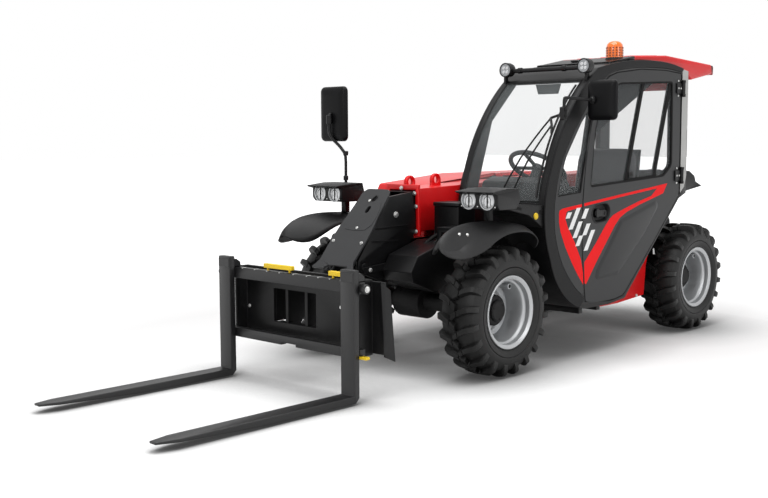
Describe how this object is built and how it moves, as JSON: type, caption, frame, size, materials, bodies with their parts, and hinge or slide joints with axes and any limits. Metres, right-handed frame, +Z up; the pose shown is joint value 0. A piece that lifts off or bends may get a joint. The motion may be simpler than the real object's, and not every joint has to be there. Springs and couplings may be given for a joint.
{
  "type": "compact telehandler",
  "caption": "Compact telehandler: offset telescopic boom with pallet forks on a tilting carriage, glazed side cab with door, side engine hood, steered wheels front and rear.",
  "frame": {"origin": "on the ground, in the middle of the machine with its forks on", "axes": "+X forward along the forks, +Y to the machine's left, where the cab is, +Z up"},
  "size_m": [4.887, 1.866, 2.0019],
  "materials": {
    "charcoal_paint": "satin",
    "black_paint": "satin",
    "red_paint": "gloss",
    "black_plastic": "matte",
    "tyre_rubber": "matte",
    "rim_silver": "satin",
    "cast_black": "satin",
    "chrome_rod": "polished",
    "clear_glass": "clear",
    "amber_lens": "gloss",
    "red_lens": "gloss",
    "lamp_glass": "clear",
    "rubber_mat": "matte",
    "seat_fabric": "matte",
    "yellow_paint": "satin"
  },
  "bodies": {
    "chassis": {"beacon": "amber_lens", "cab": "charcoal_paint", "cab_floor": "rubber_mat", "chassis_frame": "black_paint", "console": "black_plastic", "dashboard": "black_plastic", "engine": "cast_black", "fender_arms": "black_paint", "front_axle": "cast_black", "headlamps": "lamp_glass", "hood_bulkhead": "black_paint", "left_fender": "black_plastic", "left_lamp_housing": "black_plastic", "left_mirror": "black_plastic", "nose": "black_paint", "quarter_glass": "clear_glass", "rear_axle": "cast_black", "rear_cowl": "black_plastic", "rear_glass": "clear_glass", "rear_lamps": "red_lens", "rear_weight": "charcoal_paint", "right_fender": "black_plastic", "right_glass": "clear_glass", "right_lamp_housing": "black_plastic", "right_mirror": "black_plastic", "roof_cap": "red_paint", "roof_lamps": "black_plastic", "seat": "seat_fabric", "seat_base": "black_plastic", "side_panel": "red_paint", "steering_wheel": "black_plastic", "tank": "black_plastic", "windshield": "clear_glass"},
    "hood_lid": {"engine_hood": "red_paint"},
    "cab_door": {"door": "charcoal_paint", "door_glass": "clear_glass", "door_handle": "black_plastic"},
    "outer_boom": {"boom_outer": "red_paint"},
    "inner_boom": {"boom_inner": "black_paint", "head_cover": "charcoal_paint"},
    "fork_carriage": {"carriage": "charcoal_paint", "left_fork": "charcoal_paint", "right_fork": "charcoal_paint", "fork_locks": "yellow_paint"},
    "lift_cylinder": {"lift_barrel": "black_paint"},
    "lift_piston": {"lift_rod": "chrome_rod"},
    "tilt_cylinder": {"tilt_barrel": "black_paint"},
    "tilt_piston": {"tilt_rod": "chrome_rod"},
    "front_left_steer": {"front_left_knuckle": "cast_black"},
    "front_left_wheel": {"front_left_rim": "rim_silver", "front_left_tyre": "tyre_rubber"},
    "front_right_steer": {"front_right_knuckle": "cast_black"},
    "front_right_wheel": {"front_right_rim": "rim_silver", "front_right_tyre": "tyre_rubber"},
    "rear_left_steer": {"rear_left_knuckle": "cast_black"},
    "rear_left_wheel": {"rear_left_rim": "rim_silver", "rear_left_tyre": "tyre_rubber"},
    "rear_right_steer": {"rear_right_knuckle": "cast_black"},
    "rear_right_wheel": {"rear_right_rim": "rim_silver", "rear_right_tyre": "tyre_rubber"}
  },
  "joints": [
    {"name": "hood_hinge", "type": "hinge", "parent": "chassis", "child": "hood_lid", "pos_m": [-1.06, -0.255, 1.1], "axis": [-1, 0, 0], "range_deg": [0, 60]},
    {"name": "door_hinge", "type": "hinge", "parent": "chassis", "child": "cab_door", "pos_m": [-1.772, 0.728, 1.4], "axis": [0, 0, 1], "range_deg": [0, 95]},
    {"name": "boom_lift", "type": "hinge", "parent": "chassis", "child": "outer_boom", "pos_m": [-2.08, -0.09, 0.999], "axis": [0, -1, 0], "range_deg": [0, 60]},
    {"name": "boom_telescope", "type": "slide", "parent": "outer_boom", "child": "inner_boom", "axis": [0.9996, 0, -0.0288], "range_m": [0, 1.1]},
    {"name": "carriage_tilt", "type": "hinge", "parent": "inner_boom", "child": "fork_carriage", "pos_m": [0.64, -0.09, 0.628], "axis": [0, 1, 0], "range_deg": [-14, 45]},
    {"name": "lift_barrel_pivot", "type": "hinge", "parent": "chassis", "child": "lift_cylinder", "pos_m": [-1.85, -0.09, 0.48], "axis": [0, -1, 0], "range_deg": [-0.5, 53.16]},
    {"name": "lift_rod_slide", "type": "slide", "parent": "lift_cylinder", "child": "lift_piston", "axis": [0.9639, 0, 0.2662], "range_m": [-0.002, 0.5444]},
    {"name": "tilt_barrel_pivot", "type": "hinge", "parent": "inner_boom", "child": "tilt_cylinder", "pos_m": [0.262, -0.09, 0.85], "axis": [0, 1, 0], "range_deg": [-6, 6]},
    {"name": "tilt_rod_slide", "type": "slide", "parent": "tilt_cylinder", "child": "tilt_piston", "axis": [0.9016, 0, -0.4326], "range_m": [-0.02, 0.05]},
    {"name": "front_left_steering", "type": "hinge", "parent": "chassis", "child": "front_left_steer", "pos_m": [0.16, 0.44, 0.38], "axis": [0, 0, 1], "range_deg": [-30, 30]},
    {"name": "front_left_spin", "type": "hinge", "parent": "front_left_steer", "child": "front_left_wheel", "pos_m": [0.16, 0.613, 0.38], "axis": [0, 1, 0], "continuous": true},
    {"name": "front_right_steering", "type": "hinge", "parent": "chassis", "child": "front_right_steer", "pos_m": [0.16, -0.44, 0.38], "axis": [0, 0, 1], "range_deg": [-30, 30]},
    {"name": "front_right_spin", "type": "hinge", "parent": "front_right_steer", "child": "front_right_wheel", "pos_m": [0.16, -0.613, 0.38], "axis": [0, 1, 0], "continuous": true},
    {"name": "rear_left_steering", "type": "hinge", "parent": "chassis", "child": "rear_left_steer", "pos_m": [-2, 0.44, 0.38], "axis": [0, 0, 1], "range_deg": [-30, 30]},
    {"name": "rear_left_spin", "type": "hinge", "parent": "rear_left_steer", "child": "rear_left_wheel", "pos_m": [-2, 0.613, 0.38], "axis": [0, 1, 0], "continuous": true},
    {"name": "rear_right_steering", "type": "hinge", "parent": "chassis", "child": "rear_right_steer", "pos_m": [-2, -0.44, 0.38], "axis": [0, 0, 1], "range_deg": [-30, 30]},
    {"name": "rear_right_spin", "type": "hinge", "parent": "rear_right_steer", "child": "rear_right_wheel", "pos_m": [-2, -0.613, 0.38], "axis": [0, 1, 0], "continuous": true}
  ],
  "couplings": [
    {"joint": "lift_barrel_pivot", "follows": "boom_lift", "ratio": 0.8776},
    {"joint": "lift_rod_slide", "follows": "boom_lift", "m_per_rad": 0.517},
    {"joint": "tilt_barrel_pivot", "follows": "carriage_tilt", "ratio": -0.097},
    {"joint": "tilt_rod_slide", "follows": "carriage_tilt", "m_per_rad": 0.0479},
    {"joint": "front_right_steering", "follows": "front_left_steering", "ratio": 1},
    {"joint": "rear_right_steering", "follows": "rear_left_steering", "ratio": 1}
  ]
}
